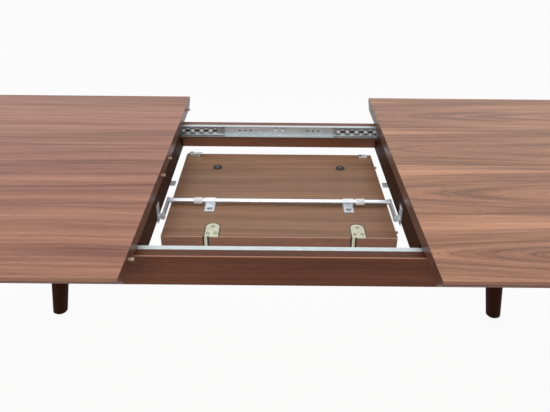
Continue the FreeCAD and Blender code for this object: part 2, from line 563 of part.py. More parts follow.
node("leaf_strike_screw", fuse(rod_z(s.screw_dia, e(s.screw_len, s.strike_thk), strike_far, strike_mid, lock_low),
                               rod_z(s.screw_head, s.screw_cap, strike_far, strike_mid,
                                     e(leaf_face, s.strike_thk))))

# ring bumpers on the face of half A, each held by a screw
bumpers, bumper_screws = [], []
for sign in (-1, 1):
    x_mid = s.bumper_x if sign > 0 else neg(s.bumper_x)
    disc = rod_z(s.bumper_dia, s.bumper_thk, x_mid, s.bumper_y, leaf_face)
    well = rod_z(s.bumper_hole, s.bumper_thk, x_mid, s.bumper_y, e(leaf_face, half(s.bumper_thk)))
    shank_len = e(s.screw_len, half(s.bumper_thk))
    shank = rod_z(s.screw_dia, shank_len, x_mid, s.bumper_y, lock_low)
    bumpers.append(cut(disc, well, shank))
    bumper_screws.append(fuse(rod_z(s.screw_dia, shank_len, x_mid, s.bumper_y, lock_low),
                              rod_z(s.screw_head, s.screw_cap, x_mid, s.bumper_y,
                                    e(leaf_face, half(s.bumper_thk)))))
    face_holes.append(shank)
node("leaf_bumpers", *bumpers)
node("leaf_bumper_screws", *bumper_screws)
base, tools = panel_cuts["a"]
node("leaf_a_panel", cut(base, *tools, *face_holes))
base, tools = panel_cuts["b"]
node("leaf_b_panel", cut(base, *tools))

# every object is sound before anything is written
doc.recompute()
for obj in doc.Objects:
    if "Invalid" in obj.State or "Error" in obj.State:
        raise RuntimeError(f"{obj.Name} {obj.Label} failed: {obj.State}")
for obj in nodes:
    if obj.Shape.isNull() or not obj.Shape.isValid() or not obj.Shape.Solids:
        raise RuntimeError(f"{obj.Label} has no valid shape")
os.makedirs("parts", exist_ok=True)
for obj in nodes:
    obj.Shape.exportStep(f"parts/{obj.Label}.step")
print(len(nodes), "nodes,", sum(len(obj.Shape.Solids) for obj in nodes), "solids")
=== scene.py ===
# %% [markdown]
# # A butterfly leaf table, dressed for the camera
# The solids come from CAD as a fixed frame, one object for each piece of the table.
# They could be modelled again here, but then hinges and slides would no longer fit, so the CAD
# shapes stay. This lesson gives them wood and metal, softens the edges and adds small fittings.

# %% Load the frame
import math
import bmesh
import bpy
from mathutils import Matrix, Vector


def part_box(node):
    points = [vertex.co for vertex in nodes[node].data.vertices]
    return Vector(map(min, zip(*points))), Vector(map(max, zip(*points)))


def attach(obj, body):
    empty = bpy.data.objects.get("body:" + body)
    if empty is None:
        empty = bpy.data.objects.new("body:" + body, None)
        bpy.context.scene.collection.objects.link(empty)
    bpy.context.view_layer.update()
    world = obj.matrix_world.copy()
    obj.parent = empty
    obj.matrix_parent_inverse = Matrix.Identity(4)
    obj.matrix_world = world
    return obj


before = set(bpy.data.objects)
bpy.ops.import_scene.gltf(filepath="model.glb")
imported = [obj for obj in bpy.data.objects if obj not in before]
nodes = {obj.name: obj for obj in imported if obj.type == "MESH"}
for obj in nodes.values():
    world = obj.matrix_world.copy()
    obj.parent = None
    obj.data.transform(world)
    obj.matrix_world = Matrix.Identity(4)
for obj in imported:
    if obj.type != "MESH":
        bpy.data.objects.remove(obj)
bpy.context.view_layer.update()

# %% [markdown]
# ## Camera
# The photograph looks down on the open table from the front, a little left of its middle.
# A camera could be placed by eye, but this one was solved from measured corners of the tops,
# the leaf and the slides, so that the drawing falls on the photograph.

# %% Camera
PHOTO_WIDTH = 550
FOCAL_PIXELS = 600
CAMERA_PLACE = (-0.0094, -1.2329, 1.3165)
CAMERA_TILT, CAMERA_ROLL = math.radians(61.11), math.radians(0.52)
camera_data = bpy.data.cameras.new("camera")
camera_data.sensor_width = 36
camera_data.lens = FOCAL_PIXELS * camera_data.sensor_width / PHOTO_WIDTH
camera = bpy.data.objects.new("camera", camera_data)
camera.matrix_world = (Matrix.Translation(CAMERA_PLACE)
                       @ Matrix.Rotation(CAMERA_TILT, 4, "X")
                       @ Matrix.Rotation(CAMERA_ROLL, 4, "Z"))
bpy.context.scene.collection.objects.link(camera)
bpy.context.scene.camera = camera
bpy.context.scene.view_settings.view_transform = "Standard"
print("camera lens:", round(camera_data.lens, 2), "mm")

# %% [markdown]
# ## Node helpers
# Materials here are trees of nodes. Linking them one by one is long to read, so a small helper
# adds a node and joins its inputs in one line: a number sets the socket, and a socket is linked.
# The others are the sums, ranges, colour mixes and groups that every finish below is made of.


# %% Adding one node
def fill_socket(tree, socket, value):
    if isinstance(value, bpy.types.NodeSocket):
        tree.links.new(value, socket)
    else:
        socket.default_value = value


def add(tree, kind, inputs=None, **settings):
    made = tree.nodes.new(kind)
    for name, value in settings.items():
        setattr(made, name, value)
    for key, value in (inputs or {}).items():
        fill_socket(tree, made.inputs[key], value)
    return made


print("helper for nodes is ready")


# %% Sums, ranges, colour mixes and groups
def math_node(tree, operation, first, second=0.0):
    return add(tree, "ShaderNodeMath", {0: first, 1: second}, operation=operation).outputs[0]


def spread(tree, value, low, high, to_low=0.0, to_high=1.0):
    made = add(tree, "ShaderNodeMapRange", {"Value": value, "From Min": low, "From Max": high,
                                            "To Min": to_low, "To Max": to_high})
    return made.outputs["Result"]


def mix_colours(tree, share, first, second, blend="MIX"):
    # the Mix node has sockets for every data type: 0 is its factor, 6 and 7 are its colours
    made = add(tree, "ShaderNodeMix", data_type="RGBA", blend_type=blend)
    for key, value in ((0, share), (6, first), (7, second)):
        fill_socket(tree, made.inputs[key], value)
    return made.outputs[2]


def new_group(name, inputs, outputs):
    tree = bpy.data.node_groups.new(name, "ShaderNodeTree")
    for label, value in inputs.items():
        socket = tree.interface.new_socket(name=label, in_out="INPUT", socket_type="NodeSocketFloat")
        socket.default_value = value
    for label in outputs:
        tree.interface.new_socket(name=label, in_out="OUTPUT", socket_type="NodeSocketFloat")
    return tree, tree.nodes.new("NodeGroupInput").outputs, tree.nodes.new("NodeGroupOutput").inputs


print("helpers for sums, mixes and groups are ready")

# %% [markdown]
# ## The white floor and room
# The photograph is a cut-out on white, so the floor and the room are white to the camera and to
# shiny metal, while the light that falls on the table stays at a plain level. A brighter lamp
# could whiten the floor too, but it would bleach the wood. The floor keeps part of the shadow,
# and from below it is clear, so that the underside of the table can be looked at.

# %% Floor
FLOOR_HALF, FLOOR_LEVEL = 30, -0.0005
floor_mesh = bpy.data.meshes.new("floor")
floor_shape = bmesh.new()
bmesh.ops.create_grid(floor_shape, x_segments=1, y_segments=1, size=FLOOR_HALF)
bmesh.ops.translate(floor_shape, verts=floor_shape.verts, vec=(0, 0, FLOOR_LEVEL))
floor_shape.to_mesh(floor_mesh)
floor_shape.free()
floor = bpy.data.objects.new("floor", floor_mesh)
bpy.context.scene.collection.objects.link(floor)
print("floor side:", 2 * FLOOR_HALF, "m")


# %% Floor paint
def seen_directly(tree):
    path = add(tree, "ShaderNodeLightPath").outputs
    shiny = math_node(tree, "MAXIMUM", path["Is Glossy Ray"], path["Is Transmission Ray"])
    return math_node(tree, "MAXIMUM", path["Is Camera Ray"], shiny)


WHITE, MATT_WHITE = (1, 1, 1, 1), (0.92, 0.92, 0.92, 1)
SHADOW_KEPT = 0.08
floor_paint = bpy.data.materials.new("white floor")
floor_paint.use_nodes = True
tree = floor_paint.node_tree
tree.nodes.clear()
matt = add(tree, "ShaderNodeBsdfDiffuse", {"Color": MATT_WHITE}).outputs[0]
glow = add(tree, "ShaderNodeEmission", {"Color": WHITE, "Strength": 1.0}).outputs[0]
share = math_node(tree, "MULTIPLY", seen_directly(tree), 1 - SHADOW_KEPT)
white = add(tree, "ShaderNodeMixShader", {0: share, 1: matt, 2: glow}).outputs[0]
clear = add(tree, "ShaderNodeBsdfTransparent").outputs[0]
below = add(tree, "ShaderNodeNewGeometry").outputs["Backfacing"]
either = add(tree, "ShaderNodeMixShader", {0: below, 1: white, 2: clear}).outputs[0]
add(tree, "ShaderNodeOutputMaterial", {"Surface": either})
floor_mesh.materials.append(floor_paint)
print("floor keeps", SHADOW_KEPT, "of the shadow")

# %% Room
ROOM_LIGHT = 0.5
world = bpy.data.worlds.new("white room")
bpy.context.scene.world = world
world.use_nodes = True
tree = world.node_tree
tree.nodes.clear()
level = spread(tree, seen_directly(tree), 0, 1, ROOM_LIGHT, 1)
room = add(tree, "ShaderNodeBackground", {"Color": WHITE, "Strength": level}).outputs[0]
add(tree, "ShaderNodeOutputWorld", {"Surface": room})
print("room light:", ROOM_LIGHT)

# %% [markdown]
# ## Lamps
# The photograph has soft shadows under the rod and inside the frame, as large studio boxes give.
# Point lamps would draw hard edges, so two area lamps do it: one above lights the tops, and one in
# front lights the apron and the edges that face the camera.


# %% Lamps
def lamp(name, place, aim, width, height, watts):
    data = bpy.data.lights.new(name, "AREA")
    data.shape = "RECTANGLE"
    data.size, data.size_y, data.energy = width, height, watts
    made = bpy.data.objects.new(name, data)
    made.location = place
    made.rotation_euler = (Vector(aim) - Vector(place)).to_track_quat("-Z", "Y").to_euler()
    bpy.context.scene.collection.objects.link(made)
    print(name, "watts:", watts)


lamp("soft box above", (0.0, 0.5, 3.2), (0, 0, 0.7), width=3.0, height=2.2, watts=30)
lamp("soft box in front", (-0.6, -2.8, 2.4), (0, -0.2, 0.6), width=2.4, height=1.6, watts=48)

# %% [markdown]
# ## Grain
# Walnut veneer has long streaks, fine fibres and short dark pores, all drawn out along the grain.
# An image could show them, but noise that is stretched along the board stays sharp at any distance
# and runs through edges too. One group makes the pattern, and each wood gives it its own values.

# %% Grain group
grain, given, out = new_group(
    "long grain",
    {"Along": 0, "Across": 0, "Depth": 0, "Streaks": 80, "Wander": 0.02},
    ["Figure", "Fibre", "Pores"])


def stretched(along_scale, across, across_scale, detail, roughness):
    point = add(grain, "ShaderNodeCombineXYZ", {
        0: math_node(grain, "MULTIPLY", given["Along"], along_scale),
        1: math_node(grain, "MULTIPLY", across, across_scale),
        2: math_node(grain, "MULTIPLY", given["Depth"], across_scale)}).outputs[0]
    return add(grain, "ShaderNodeTexNoise", {"Vector": point, "Scale": 1.0, "Detail": detail,
                                             "Roughness": roughness}).outputs[0]


print("noise is drawn out along the board")

# %% Streaks, fibres and pores
BAND_SHARE, LINE_SHARE = 0.45, 0.55
BAND_SCALE = 0.22
drift = stretched(1.4, given["Across"], 4.0, detail=2.0, roughness=0.5)
drift = math_node(grain, "MULTIPLY", math_node(grain, "SUBTRACT", drift, 0.5), given["Wander"])
bent = math_node(grain, "ADD", given["Across"], drift)
wide = math_node(grain, "MULTIPLY", given["Streaks"], BAND_SCALE)
bands = stretched(0.9, bent, wide, detail=2.0, roughness=0.5)
lines = stretched(2.6, bent, given["Streaks"], detail=4.0, roughness=0.65)
fibre = stretched(9.0, bent, 420.0, detail=2.0, roughness=0.6)
pores = stretched(45.0, bent, 1000.0, detail=1.0, roughness=0.5)
figure = math_node(grain, "ADD",
                   math_node(grain, "MULTIPLY", spread(grain, bands, 0.37, 0.63), BAND_SHARE),
                   math_node(grain, "MULTIPLY", spread(grain, lines, 0.32, 0.68), LINE_SHARE))
grain.links.new(figure, out["Figure"])
grain.links.new(fibre, out["Fibre"])
grain.links.new(spread(grain, pores, 0.56, 0.7), out["Pores"])
print("grain group:", len(grain.nodes), "nodes")

# %% [markdown]
# ## Painted highlights on sanded rims and painted shade on edges
# Along a sanded corner a pale line is painted, a painted highlight, and where two boards meet the
# edge is painted dark, and so is the bevel under the outer edges, as painted shade. Faces could be
# picked by hand, but the CAD mesh isn't changed. So a small group compares a point's place with the
# rim's place and puts out a mask near it.

# %% Rim group
rim_wear_and_painted_light, given, out = new_group("rim highlight and shade mask", {"Place": 0, "Rim": 0, "Width": 0.0015}, ["Worn"])
gap = math_node(rim_wear_and_painted_light, "ABSOLUTE", math_node(rim_wear_and_painted_light, "SUBTRACT", given["Place"], given["Rim"]))
rim_wear_and_painted_light.links.new(math_node(rim_wear_and_painted_light, "LESS_THAN", gap, given["Width"]), out["Worn"])
RIM_WIDTH = 0.0016


def rim_at(tree, place, rim, width=RIM_WIDTH):
    made = add(tree, "ShaderNodeGroup", {"Place": place, "Rim": rim, "Width": width}, node_tree=rim_wear_and_painted_light)
    return made.outputs["Worn"]


print("rim group:", len(rim_wear_and_painted_light.nodes), "nodes")

# %% [markdown]
# ## Plain stained woods
# Aprons, rails, legs, runners and dowels are solid wood, from a pale dowel to a leg that is almost
# black. A flat brown would hide the grain, so every wood mixes a pale and a dark stain by the grain
# group, darkens the pores and gives the lacquer an uneven gloss with a faint relief.


# %% Stain and lacquer
def finish(name):
    made = bpy.data.materials.new(name)
    made.use_nodes = True
    tree = made.node_tree
    shader = tree.nodes["Principled BSDF"]
    place = add(tree, "ShaderNodeTexCoord").outputs["Object"]
    return made, tree, shader, place


def grain_at(tree, along, across, depth, streaks, wander):
    made = add(tree, "ShaderNodeGroup", {"Along": along, "Across": across, "Depth": depth,
                                         "Streaks": streaks, "Wander": wander}, node_tree=grain)
    return made.outputs


def stain(tree, pattern, pale, dark, pore_depth=0.35):
    streaked = mix_colours(tree, pattern["Figure"], (*dark, 1), (*pale, 1))
    fibre = spread(tree, pattern["Fibre"], 0.3, 0.7, 0.9, 1.08)
    pores = spread(tree, pattern["Pores"], 0, 1, 1, 1 - pore_depth)
    shade = math_node(tree, "MULTIPLY", fibre, pores)
    tint = add(tree, "ShaderNodeCombineColor", {0: shade, 1: shade, 2: shade}).outputs[0]
    return mix_colours(tree, 1.0, streaked, tint, "MULTIPLY")


def lacquer(tree, shader, pattern, rough, relief=0.00012):
    uneven = spread(tree, pattern["Fibre"], 0.3, 0.7, rough - 0.05, rough + 0.06)
    tree.links.new(uneven, shader.inputs["Roughness"])
    height = math_node(tree, "SUBTRACT", pattern["Fibre"], pattern["Pores"])
    bump = add(tree, "ShaderNodeBump", {"Height": height, "Strength": 0.35, "Distance": relief})
    tree.links.new(bump.outputs[0], shader.inputs["Normal"])


print("stain and lacquer are ready")

# %% Plain wood
# pale tint for the front apron's sanded top front rim, a painted highlight
APRON_RIM_WEAR_HIGHLIGHT = (0.36, 0.17, 0.10, 1)
PLAIN_WANDER = 0.02


def plain_wood(name, pale, dark, rough, streaks=60, along="X", shine=0.2, rim=None):
    made, tree, shader, place = finish(name)
    axes = add(tree, "ShaderNodeSeparateXYZ", {0: place}).outputs
    order = {"X": (0, 1, 2), "Y": (1, 0, 2), "Z": (2, 0, 1)}[along]
    pattern = grain_at(tree, *[axes[i] for i in order], streaks, PLAIN_WANDER)
    colour = stain(tree, pattern, pale, dark)
    if rim:
        # a pale line where the outer side meets the top, a painted highlight along the sanded rim
        high, side = rim_at(tree, axes[2], rim[0]), rim_at(tree, axes[1], rim[1])
        colour = mix_colours(tree, math_node(tree, "MULTIPLY", high, side), colour, APRON_RIM_WEAR_HIGHLIGHT)
    tree.links.new(colour, shader.inputs["Base Color"])
    lacquer(tree, shader, pattern, rough)
    shader.inputs["Specular IOR Level"].default_value = shine
    return made


front_low, front_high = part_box("front_apron")
apron_wood = plain_wood("dark stained apron", (0.168, 0.055, 0.024), (0.070, 0.020, 0.008), 0.42,
                        rim=(front_high.z, front_low.y))
back_apron_wood = plain_wood("back apron", (0.255, 0.108, 0.060), (0.130, 0.052, 0.029), 0.42)
rail_wood = plain_wood("near black rail", (0.060, 0.022, 0.011), (0.036, 0.013, 0.006), 0.55,
                       along="Y", shine=0.04)
leg_wood = plain_wood("dark turned leg", (0.040, 0.012, 0.005), (0.022, 0.006, 0.003), 0.55,
                      along="Z", shine=0.02)
runner_wood = plain_wood("plain runner", (0.30, 0.19, 0.11), (0.22, 0.13, 0.075), 0.55)
dowel_wood = plain_wood("pale dowel", (0.50, 0.36, 0.27), (0.38, 0.26, 0.19), 0.55, streaks=160)
print("plain woods are ready")

# %% [markdown]
# ## Cathedral arches
# The right top's veneer was cut flat from the log, so its grain runs in nested arches, once in each
# of four matched leaves. Rings of noise would look like a target. Here the grain's cross coordinate
# is bent instead: round near a leaf's middle line, straight further out, and shifted along it.

# %% Arch field
LEAF_PITCH = 0.225
BOWL = 0.022
ARCH_REACH = 0.11


def veneer_field(tree, axes, tip_x, slope, shift):
    start = math_node(tree, "ADD", axes[1], 2 * LEAF_PITCH)
    leaf = math_node(tree, "FLOOR", math_node(tree, "DIVIDE", start, LEAF_PITCH))
    local = math_node(tree, "SUBTRACT", start, math_node(tree, "MULTIPLY", leaf, LEAF_PITCH))
    off = math_node(tree, "ABSOLUTE", math_node(tree, "ADD", local, shift - LEAF_PITCH / 2))
    near = math_node(tree, "MINIMUM", off, BOWL)
    bowl = math_node(tree, "DIVIDE", math_node(tree, "MULTIPLY", near, near), 2 * BOWL)
    bowl = math_node(tree, "ADD", bowl, math_node(tree, "SUBTRACT", off, near))
    fade = spread(tree, off, 0.0, ARCH_REACH, slope, 0.0)
    run = math_node(tree, "MULTIPLY", math_node(tree, "SUBTRACT", axes[0], tip_x), fade)
    return math_node(tree, "SUBTRACT", bowl, run), leaf


print("arches in leaves of", LEAF_PITCH, "m")

# %% [markdown]
# ## Veneered panels
# The tops and the leaf show walnut on one face, a browner veneer underneath and a lipping round the
# edge. Three materials on hand-picked faces would do, but the CAD mesh isn't changed, so one
# material reads the height and the side of each point and chooses the stain there.

# %% Stains of the panels, each a pale and a dark one
LEFT_SHOW = (0.470, 0.218, 0.138), (0.125, 0.040, 0.024)
RIGHT_SHOW = (0.650, 0.318, 0.188), (0.100, 0.038, 0.021)
UNDER = (0.325, 0.172, 0.096), (0.165, 0.081, 0.046)
LEAF_EDGE = (0.310, 0.140, 0.085), (0.200, 0.086, 0.050)
TOP_EDGE = (0.300, 0.150, 0.098), (0.190, 0.090, 0.058)
# a dark colour for the tops' inner edges and under-bevels, painted shade
PAINTED_SHADE_EDGE = (0.150, 0.058, 0.033), (0.085, 0.032, 0.018)
# the pale line on the leaf's sanded rim, a painted highlight: its colour, how far in it sits and how
# wide
LEAF_RIM_WEAR_HIGHLIGHT, LEAF_HIGHLIGHT_IN, LEAF_HIGHLIGHT_WIDTH = (0.55, 0.33, 0.23, 1), 0.0011, 0.0007
FAINT_PORES = 0.2
LIPPING = 0.0074
print("lipping height:", LIPPING)


# %% The edge of a panel
def top_edge(tree, axes, pattern, show_z, inner_x):
    # the edge where the tops meet and the bevel under the outer edges are painted dark, painted shade
    edge = stain(tree, pattern, *TOP_EDGE, FAINT_PORES)
    inner = rim_at(tree, axes[0], inner_x)
    bevelled = math_node(tree, "LESS_THAN", axes[2], show_z - LIPPING)
    painted_shade = stain(tree, pattern, *PAINTED_SHADE_EDGE, FAINT_PORES)
    return mix_colours(tree, math_node(tree, "MAXIMUM", inner, bevelled), edge, painted_shade)


def leaf_edge(tree, axes, pattern, under_z, inwards):
    # the leaf's sanded corner gets a pale line where its lipping meets the under face, a painted
    # highlight
    edge = stain(tree, pattern, *LEAF_EDGE, FAINT_PORES)
    rim_wear_highlight = rim_at(tree, axes[2], under_z + LEAF_HIGHLIGHT_IN * inwards, LEAF_HIGHLIGHT_WIDTH)
    return mix_colours(tree, rim_wear_highlight, edge, LEAF_RIM_WEAR_HIGHLIGHT)


print("edges of tops and leaf are ready")

# %% One panel
SKIN = 0.0004
LEAF_STEP = 0.17
PANEL_SHINE = 0.25
STRAIGHT_GRAIN, ARCHED_GRAIN = (105, 0.06), (80, 0.02)


def panel(name, show_z, under_z, seed, rough, walnut, inner_x=None, arch=None):
    made, tree, shader, place = finish(name)
    axes = add(tree, "ShaderNodeSeparateXYZ", {0: place}).outputs
    across, along = axes[1], math_node(tree, "ADD", axes[0], seed)
    if arch:
        across, leaf = veneer_field(tree, axes, **arch)
        along = math_node(tree, "ADD", along, math_node(tree, "MULTIPLY", leaf, LEAF_STEP))
    streaks, wander = ARCHED_GRAIN if arch else STRAIGHT_GRAIN
    pattern = grain_at(tree, along, across, axes[2], streaks, wander)
    # the two faces are found by height, and what lies between them is the edge
    upright = show_z > under_z
    inwards = 1 if upright else -1
    past_show, past_under = ("GREATER_THAN", "LESS_THAN") if upright else ("LESS_THAN", "GREATER_THAN")
    on_show = math_node(tree, past_show, axes[2], show_z - inwards * SKIN)
    on_under = math_node(tree, past_under, axes[2], under_z + inwards * SKIN)
    if inner_x is None:
        edge = leaf_edge(tree, axes, pattern, under_z, inwards)
    else:
        edge = top_edge(tree, axes, pattern, show_z, inner_x)
    faced = mix_colours(tree, on_show, edge, stain(tree, pattern, *walnut))
    colour = mix_colours(tree, on_under, faced, stain(tree, pattern, *UNDER, FAINT_PORES))
    tree.links.new(colour, shader.inputs["Base Color"])
    lacquer(tree, shader, pattern, rough)
    shader.inputs["Specular IOR Level"].default_value = PANEL_SHINE
    print(name, "nodes:", len(tree.nodes))
    return made


# %% The four panels
TOP_GLOSS, LEAF_GLOSS = 0.34, 0.40
ARCHES = {"tip_x": 0.30, "slope": 0.13, "shift": 0.033}
left_box, right_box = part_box("left_top_panel"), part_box("right_top_panel")
a_box, b_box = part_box("leaf_a_panel"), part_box("leaf_b_panel")
left_veneer = panel("walnut left top", left_box[1].z, left_box[0].z, 0.0, TOP_GLOSS, LEFT_SHOW,
                    inner_x=left_box[1].x)
right_veneer = panel("walnut right top", right_box[1].z, right_box[0].z, 3.1, TOP_GLOSS, RIGHT_SHOW,
                     inner_x=right_box[0].x, arch=ARCHES)
# half A lies face down in the stored leaf, so its show face is the lower one
a_veneer = panel("leaf half A", a_box[0].z, a_box[1].z, 6.4, LEAF_GLOSS, LEFT_SHOW)
b_veneer = panel("leaf half B", b_box[1].z, b_box[0].z, 9.7, LEAF_GLOSS, LEFT_SHOW)

# %% [markdown]
# ## Metal and plastic
# Plated steel isn't even: it has drawn lines, faint blotches and a roughness that changes. A plain
# metallic shader would look like a toy, so one group of noise varies colour and gloss, and each
# metal sets its own colour and strength. Moulded plastic takes the same group with fine blotches.

# %% Plating group
plating, given, out = new_group("plated blotches", {"Size": 60}, ["Blotch", "Scratch"])
place = add(plating, "ShaderNodeTexCoord").outputs["Object"]
blotch = add(plating, "ShaderNodeTexNoise", {"Vector": place, "Scale": given["Size"], "Detail": 4.0})
drawn = add(plating, "ShaderNodeMapping", {"Vector": place, "Scale": (14, 900, 900)}).outputs[0]
scratch = add(plating, "ShaderNodeTexNoise", {"Vector": drawn, "Scale": 1.0, "Detail": 2.0})
plating.links.new(blotch.outputs[0], out["Blotch"])
plating.links.new(scratch.outputs[0], out["Scratch"])
print("plating group:", len(plating.nodes), "nodes")


# %% Metals and plastics
GLOSS_SPREAD, SCRATCH_RELIEF = 0.07, 0.00004
BROAD, FINE = 60.0, 400.0


def metal(name, pale, dark, rough, metallic=1.0, size=BROAD):
    made, tree, shader, _ = finish(name)
    wear = add(tree, "ShaderNodeGroup", {"Size": size}, node_tree=plating).outputs
    colour = mix_colours(tree, spread(tree, wear["Blotch"], 0.35, 0.65), (*dark, 1), (*pale, 1))
    tree.links.new(colour, shader.inputs["Base Color"])
    uneven = spread(tree, wear["Scratch"], 0.3, 0.7, rough - GLOSS_SPREAD, rough + GLOSS_SPREAD)
    tree.links.new(uneven, shader.inputs["Roughness"])
    bump = add(tree, "ShaderNodeBump", {"Height": wear["Scratch"], "Strength": 0.2,
                                        "Distance": SCRATCH_RELIEF})
    tree.links.new(bump.outputs[0], shader.inputs["Normal"])
    shader.inputs["Metallic"].default_value = metallic
    return made


zinc = metal("bright zinc", (0.60, 0.66, 0.68), (0.52, 0.58, 0.60), 0.42, metallic=0.55)
satin_steel = metal("satin steel", (0.64, 0.66, 0.71), (0.54, 0.56, 0.61), 0.36)
clip_zinc = metal("grey clip zinc", (0.60, 0.62, 0.65), (0.50, 0.52, 0.55), 0.42)
dull_zinc = metal("dull grey zinc", (0.52, 0.53, 0.54), (0.44, 0.45, 0.46), 0.50, metallic=0.3)
yellow_zinc = metal("yellow zinc", (0.60, 0.59, 0.47), (0.50, 0.49, 0.37), 0.40)
cage_steel = metal("dark cage steel", (0.46, 0.50, 0.51), (0.34, 0.38, 0.39), 0.40)
# near white and barely metallic, a painted glint on dimples, rivets, the lock lever and the strike
glint_white_steel = metal("near-white steel with painted glint", (0.90, 0.92, 0.93), (0.80, 0.82, 0.83), 0.32,
                     metallic=0.25, size=FINE)
bumper_screw = metal("dark bumper screw", (0.24, 0.22, 0.18), (0.16, 0.15, 0.12), 0.5,
                     metallic=0.5, size=FINE)
# near black, painted shade for each screw recess and seat, slide notch and hole, cage opening and
# mortise gap
shade_black = metal("painted shade black", (0.018,) * 3, (0.010,) * 3, 0.6, metallic=0.3, size=FINE)
black_plastic = metal("black moulded plastic", (0.010,) * 3, (0.006,) * 3, 0.6, metallic=0.0, size=FINE)
white_plastic = metal("white moulded sleeve", (0.78, 0.79, 0.80), (0.72, 0.73, 0.75), 0.42,
                      metallic=0.0, size=300.0)
print("metals and plastics are ready")

# %% [markdown]
# ## Dressing the CAD pieces
# Each solid of the table gets its finish: veneer on the panels, stained wood on the frame, and
# plated steel on the hardware. Materials could be given where each solid is loaded, but one table
# shows the whole choice at a glance. What isn't named in it is plain zinc.

# %% Materials on the CAD pieces
DRESS = {
    left_veneer: ["left_top_panel"], right_veneer: ["right_top_panel"],
    a_veneer: ["leaf_a_panel"], b_veneer: ["leaf_b_panel"],
    apron_wood: ["front_apron"], back_apron_wood: ["back_apron"],
    rail_wood: ["left_cross_rail", "right_cross_rail", "left_end_rail", "right_end_rail",
                "corner_blocks"],
    leg_wood: ["leg_front_left", "leg_front_right", "leg_back_left", "leg_back_right"],
    runner_wood: ["left_runners", "right_runners"],
    dowel_wood: ["left_top_dowels", "leaf_a_dowels", "leaf_b_dowels"],
    satin_steel: ["pivot_rod", "left_slide_balls", "right_slide_balls", "clip_screws",
                  "leaf_lock_screw", "leaf_strike_screw"],
    # near-white steel on the lock lever and the strike, a painted glint
    glint_white_steel: ["leaf_lock_lever", "leaf_strike"],
    bumper_screw: ["leaf_bumper_screws"],
    clip_zinc: ["rod_clips"],
    white_plastic: ["rod_collars"],
    dull_zinc: ["leaf_guides", "arm_brackets", "swing_arms"],
    yellow_zinc: ["leaf_a_hinge_plates", "leaf_b_hinge_plates", "leaf_a_hinge_screws",
                  "leaf_b_hinge_screws", "hinge_pins", "leaf_lock_body"],
    cage_steel: ["left_ball_cages", "right_ball_cages"],
    black_plastic: ["leaf_bumpers", "leg_glides"],
}
chosen = {name: material for material, names in DRESS.items() for name in names}
for name, made in nodes.items():
    made.data.materials.clear()
    made.data.materials.append(chosen.get(name, zinc))
print("zinc:", sorted(set(nodes) - set(chosen)))

# %% [markdown]
# ## Softened edges
# A sanded board has no knife edges, and the small rounding is what catches the light along the
# apron and the leaf. Rounding every edge in CAD would make heavy solids, so modifiers do it here:
# one welds the loose triangles, one joins flat faces, and the bevel then takes only sharp edges.

# %% Bevels
SOFT = {0.0014: ["left_top_panel", "right_top_panel", "leaf_a_panel", "leaf_b_panel"],
        0.0012: ["front_apron", "back_apron", "left_cross_rail", "right_cross_rail", "left_end_rail",
                 "right_end_rail", "corner_blocks", "left_runners", "right_runners"],
        0.0006: ["leaf_guides", "arm_brackets", "swing_arms", "rod_collars", "leaf_bumpers"]}
SAME_POINT, FLAT, SHARP = 0.00001, math.radians(1), math.radians(40)
for width, names in SOFT.items():
    for name in names:
        weld = nodes[name].modifiers.new("join corners", "WELD")
        weld.merge_threshold = SAME_POINT
        flat = nodes[name].modifiers.new("flat faces in one", "DECIMATE")
        flat.decimate_type, flat.angle_limit = "DISSOLVE", FLAT
        soft = nodes[name].modifiers.new("sanded edge", "BEVEL")
        soft.width, soft.segments, soft.limit_method = width, 2, "ANGLE"
        soft.angle_limit = SHARP
        soft.use_clamp_overlap = False
print("softened pieces:", sum(map(len, SOFT.values())))

# %% [markdown]
# ## Tools for small fittings
# The solids carry plain screws, slides and hinge plates, and real ones have more detail. Cutting it
# into the CAD would add faces that no joint needs, so it is made of thin pieces here. A bar is a
# scaled cube, a ring is a small square spun round, and each piece rides on the body that carries it.


# %% A piece that rides on a body
def piece(name, shape, material, body):
    bmesh.ops.recalc_face_normals(shape, faces=shape.faces)
    mesh = bpy.data.meshes.new(name)
    shape.to_mesh(mesh)
    shape.free()
    mesh.materials.append(material)
    made = bpy.data.objects.new(name, mesh)
    bpy.context.scene.collection.objects.link(made)
    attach(made, body)
    print(name, "faces:", len(mesh.polygons))


# %% Bars and rings
def bar(shape, centre, size, soften=0.0):
    made = bmesh.ops.create_cube(shape, size=1)["verts"]
    bmesh.ops.scale(shape, verts=made, vec=size)
    bmesh.ops.translate(shape, verts=made, vec=centre)
    if soften:
        edges = list({edge for vert in made for edge in vert.link_edges})
        bmesh.ops.bevel(shape, geom=edges, offset=soften, segments=2, profile=0.5,
                        affect="EDGES", material=-1)


FULL_TURN, RING_STEPS = 2 * math.pi, 24


def ring(shape, centre, inner, outer, thick, turn=FULL_TURN):
    # a part of a turn gets its two ends closed
    corners = [(inner, 0), (outer, 0), (outer, thick), (inner, thick)]
    section = [shape.verts.new(Vector(centre) + Vector((r, 0, z))) for r, z in corners]
    edges = [shape.edges.new((section[i - 1], section[i])) for i in range(4)]
    whole = turn == FULL_TURN
    made = bmesh.ops.spin(shape, geom=section + edges, cent=centre, axis=(0, 0, 1), angle=turn,
                          steps=RING_STEPS, use_merge=whole)
    if not whole:
        last = [part for part in made["geom_last"] if isinstance(part, bmesh.types.BMEdge)]
        bmesh.ops.holes_fill(shape, edges=edges + last, sides=4)


print("tools for bars and rings are ready")

# %% [markdown]
# ## Screw heads
# Screws hold the hinge plates, the rod clips, the lock, its strike and the arm brackets. Their CAD
# heads are flat discs. A boolean could cut the cross recess, but at this size a low dome, two thin
# dark bars on it and a dark ring at its seat look the same and stay light. The bars and the ring are
# painted shade, where the recess and the seat would be in shade.

